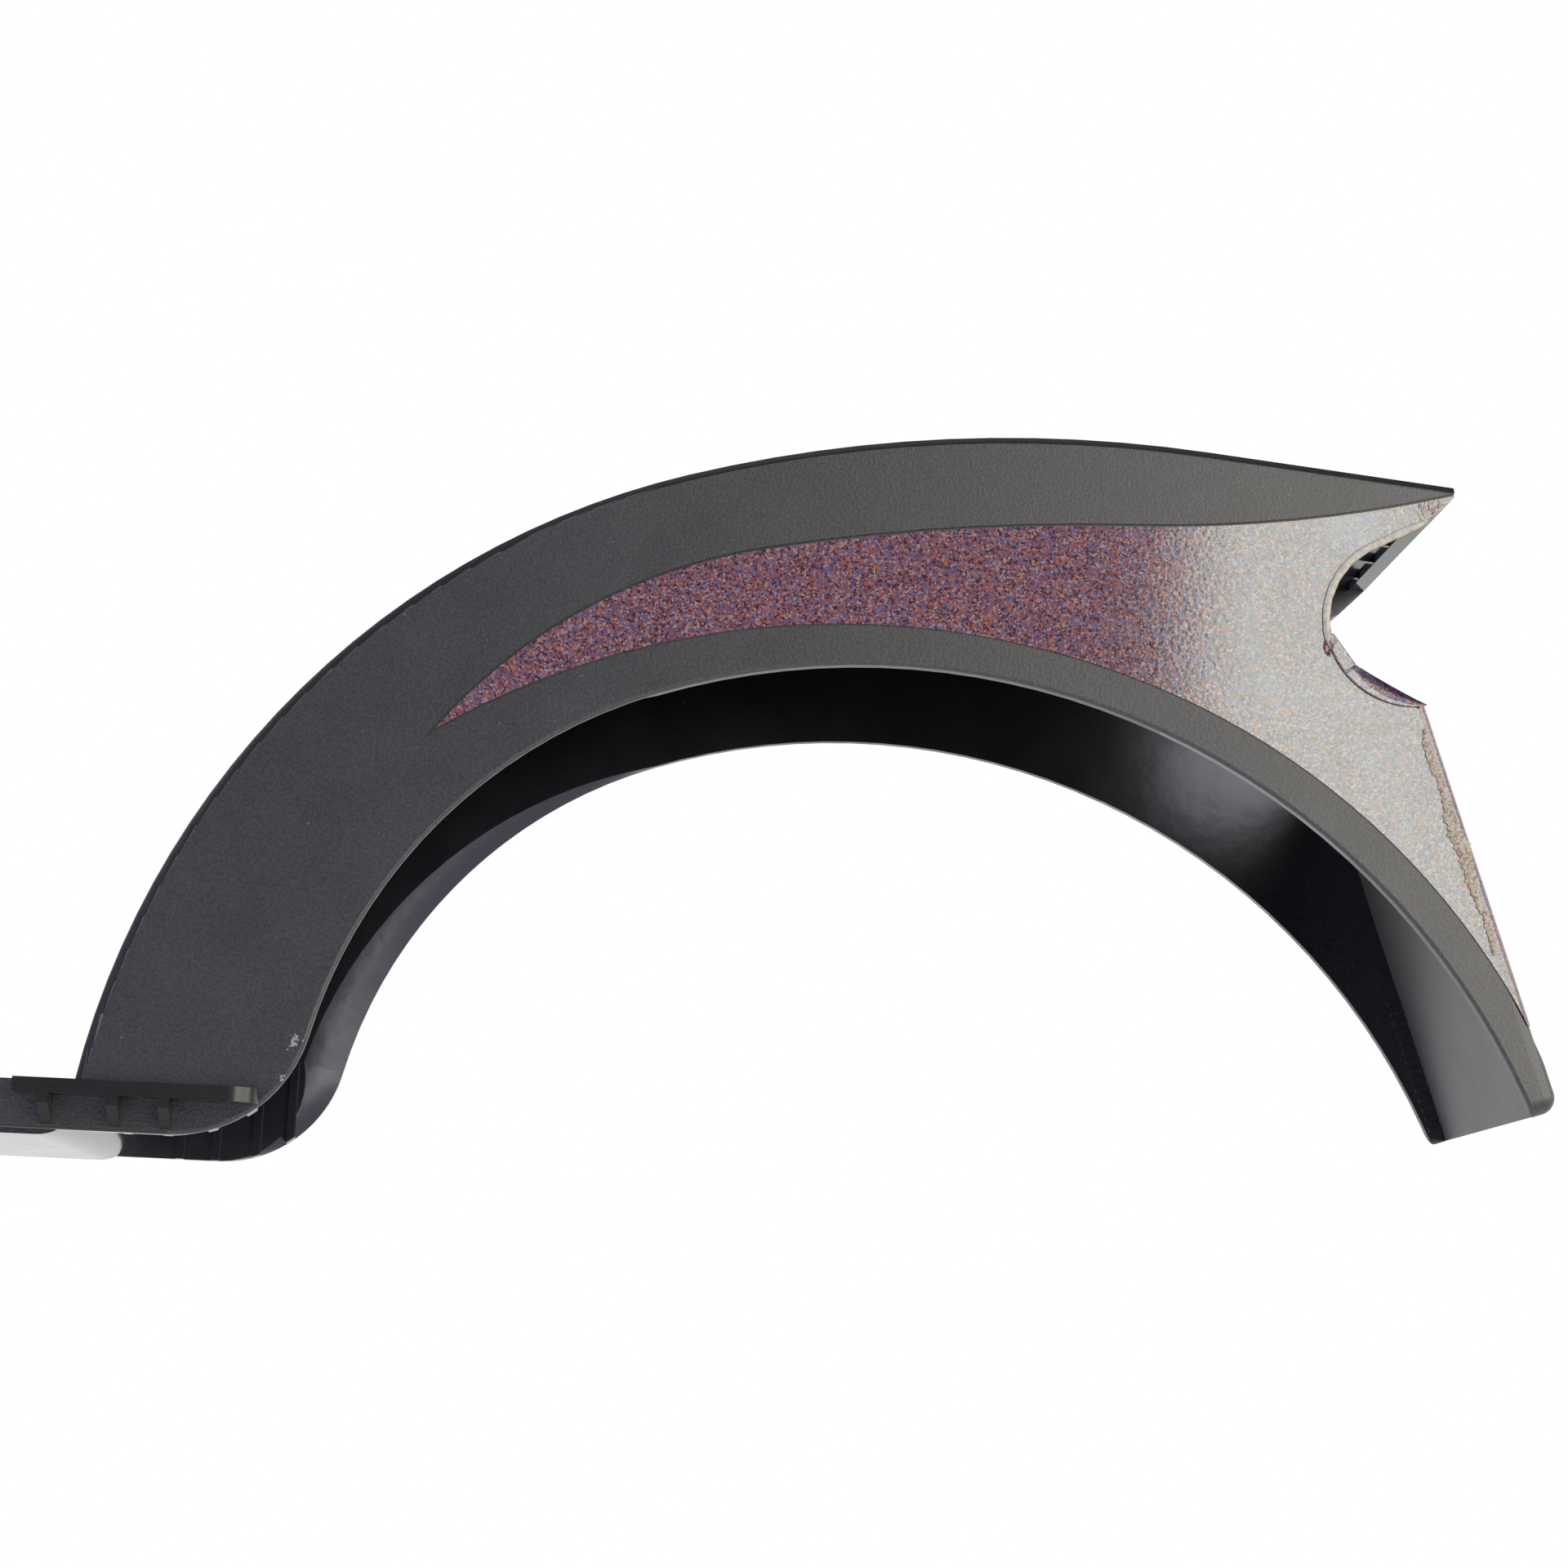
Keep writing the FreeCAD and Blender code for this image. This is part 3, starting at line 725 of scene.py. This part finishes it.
@dataclass
class Studio:
    """Camera at the photograph's place, soft panels, two dark cards, floor and white surroundings.

    One card hangs behind the camera, where the films mirror it left of the bright panel; the other is the
    dark ceiling that the crown's rounded edges mirror.
    """

    eye_mm: Tuple[float, float, float] = (143.34, -728.64, -41.69)
    heading_deg: float = 2.458
    climb_deg: float = 9.971
    roll_deg: float = 2.533
    focal_px: float = 4135.5
    sensor_mm: float = 36.0
    floor_z_mm: float = -0.5
    floor_middle_x: float = 0.16
    floor_reach: float = 2.0
    floor_fade: Tuple[float, float] = (0.35, 0.95)
    fill: float = 0.30

    def camera(self) -> None:
        """Place the camera: its axes come from heading, climb and roll."""
        heading, climb, roll = (math.radians(v) for v in (self.heading_deg, self.climb_deg, self.roll_deg))
        level_share = math.cos(climb)
        ahead = Vector((math.sin(heading) * level_share, math.cos(heading) * level_share, math.sin(climb)))
        level = Vector((math.cos(heading), -math.sin(heading), 0.0))
        rise = level.cross(ahead)
        right = level * math.cos(roll) + rise * math.sin(roll)
        up = right.cross(ahead)
        data = bpy.data.cameras.new("photo_camera")
        data.sensor_width = self.sensor_mm
        data.lens = self.focal_px / PHOTO_SIDE * self.sensor_mm
        data.clip_start = 0.01
        camera = bpy.data.objects.new("photo_camera", data)
        turn = Matrix((right, up, -ahead)).transposed().to_4x4()
        camera.matrix_world = Matrix.Translation(Vector(self.eye_mm) * MM) @ turn
        bpy.context.scene.collection.objects.link(camera)
        bpy.context.scene.camera = camera

    def panel(self, name: str, place: Sequence[float], aim: Sequence[float], size: Tuple[float, float],
              watts: float, colour: str) -> None:
        """Add a soft rectangular lamp.

        Args:
            name: Name of the lamp.
            place: Where it stands, in metres.
            aim: The point it faces.
            size: Width and height in metres.
            watts: Power.
            colour: sRGB hex colour of its light.
        """
        data = bpy.data.lights.new(name, "AREA")
        data.shape = "RECTANGLE"
        data.size, data.size_y = size
        data.energy = watts
        data.color = linear(colour)[:3]
        lamp = bpy.data.objects.new(name, data)
        turn = (Vector(aim) - Vector(place)).to_track_quat("-Z", "Y").to_matrix().to_4x4()
        lamp.matrix_world = Matrix.Translation(Vector(place)) @ turn
        lamp.visible_camera = False
        bpy.context.scene.collection.objects.link(lamp)

    def card(self, name: str, corner: Sequence[float], across: Sequence[float],
             up: Sequence[float]) -> None:
        """Hang a dark card outside the picture for glossy faces to mirror.

        Args:
            name: Name of the card.
            corner: One corner, in metres.
            across: Its first edge from that corner.
            up: Its second edge from that corner.
        """
        first, second = np.array(across), np.array(up)
        corners = np.array(corner) + np.stack([0.0 * first, first, first + second, second])
        mesh = bpy.data.meshes.new(name)
        mesh.from_pydata(corners.tolist(), [], [[0, 1, 2, 3]])
        material, tree = new_material(name + "_felt")
        felt = add_node(tree, "ShaderNodeBsdfDiffuse", values={"Color": linear("#1b1b1d")})
        add_node(tree, "ShaderNodeOutputMaterial", links={"Surface": felt.outputs[0]})
        mesh.materials.append(material)
        card = bpy.data.objects.new(name, mesh)
        card.visible_camera = False
        bpy.context.scene.collection.objects.link(card)

    def floor(self) -> None:
        """Lay a pale round floor under the part that fades into the white surroundings.

        It is seen from above only. Mirror rays pass it and find the white surroundings, as the photograph's
        glossy edges do.
        """
        mesh = bpy.data.meshes.new("floor")
        reach, z = self.floor_reach, self.floor_z_mm * MM
        corners = [(-reach, -reach, z), (reach, -reach, z), (reach, reach, z), (-reach, reach, z)]
        mesh.from_pydata(corners, [], [[0, 1, 2, 3]])
        material, tree = new_material("pale_floor")
        path = add_node(tree, "ShaderNodeLightPath")
        back = add_node(tree, "ShaderNodeNewGeometry").outputs["Backfacing"]
        place = add_node(tree, "ShaderNodeTexCoord").outputs["Object"]
        gap = add_node(tree, "ShaderNodeVectorMath", {"operation": "DISTANCE"},
                       {1: (self.floor_middle_x, 0.0, z)}, {0: place}).outputs["Value"]
        fade = add_node(tree, "ShaderNodeMapRange", {"interpolation_type": "SMOOTHSTEP"},
                        dict(enumerate(self.floor_fade, 1)), {0: gap}).outputs[0]
        clear = fade
        for other in (back, path.outputs["Is Glossy Ray"], path.outputs["Is Transmission Ray"]):
            clear = add_node(tree, "ShaderNodeMath", {"operation": "MAXIMUM"},
                             links={0: clear, 1: other}).outputs[0]
        pale = add_node(tree, "ShaderNodeBsdfDiffuse", values={"Color": linear("#f2f2f2")})
        through = add_node(tree, "ShaderNodeBsdfTransparent")
        mix = add_node(tree, "ShaderNodeMixShader",
                       links={0: clear, 1: pale.outputs[0], 2: through.outputs[0]})
        add_node(tree, "ShaderNodeOutputMaterial", links={"Surface": mix.outputs[0]})
        mesh.materials.append(material)
        floor = bpy.data.objects.new("floor", mesh)
        bpy.context.scene.collection.objects.link(floor)

    def surroundings(self) -> None:
        """White surroundings for the eye and for mirror rays, and a soft grey fill for the rest."""
        world = bpy.data.worlds.new("white_surroundings")
        world.use_nodes = True
        tree = world.node_tree
        tree.nodes.clear()
        path = add_node(tree, "ShaderNodeLightPath")
        seen = path.outputs["Is Camera Ray"]
        for other in ("Is Glossy Ray", "Is Transmission Ray"):
            seen = add_node(tree, "ShaderNodeMath", {"operation": "MAXIMUM"},
                            links={0: seen, 1: path.outputs[other]}).outputs[0]
        strength = add_node(tree, "ShaderNodeMapRange", values={3: self.fill, 4: 1.0},
                            links={0: seen}).outputs[0]
        light = add_node(tree, "ShaderNodeBackground", values={"Color": linear("#ffffff")},
                         links={"Strength": strength})
        add_node(tree, "ShaderNodeOutputWorld", links={"Surface": light.outputs[0]})
        bpy.context.scene.world = world

    def build(self) -> None:
        """Set up everything that isn't the part."""
        self.camera()
        warm, white, cool = "#faf2e0", "#ffffff", "#bccbff"
        self.panel("right_panel", (0.93, -1.30, 0.38), (0.93, 0.0, 0.38), (0.93, 0.85), 8.4, warm)
        self.panel("top_panel", (0.10, -0.20, 1.25), (0.16, 0.0, 0.10), (1.0, 1.0), 6.5, white)
        self.panel("left_panel", (-1.2, -0.9, 0.7), (0.15, 0.0, 0.08), (0.7, 0.7), 6.5, cool)
        self.panel("rear_panel", (1.5, -0.65, 0.38), (0.3, -0.3, 0.2), (1.1, 0.85), 7.2, warm)
        self.panel("edge_panel", (-0.8, 0.15, 0.85), (0.1, 0.0, 0.08), (0.5, 0.5), 2.5, white)
        self.card("dark_card", (-0.60, -1.36, 0.0), (1.065, 0.0, 0.0), (0.0, 0.0, 0.80))
        self.card("dark_ceiling", (-1.2, -0.9, 1.40), (2.6, 0.0, 0.0), (0.0, 2.0, 0.0))
        self.floor()
        self.surroundings()
        bpy.context.scene.view_settings.view_transform = "Standard"


def main() -> None:
    """Load the frame, dress its solids, add the film's turned edges and set the studio."""
    logging.basicConfig(level=logging.INFO, format="%(message)s")
    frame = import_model()
    Shell().build(frame)
    flat = GlitterFilm().build()
    creased = GlitterFilm("creased_reflective_film", flakes=CREASED_FLAKES, ior=1.5, roughness=0.4).build()
    # Darker copy of the film: painted shade on the flap's part that turns away from the bright panel.
    turned = GlitterFilm("turned_reflective_film", flakes=SHADED_FLAKES, patch="#3a2c44", ior=1.5).build()
    backing = FilmBacking().build()
    for side in Side:
        Film(side, flat, creased, turned, backing).build(frame)
    Studio().build()


if __name__ == "__main__":
    main()
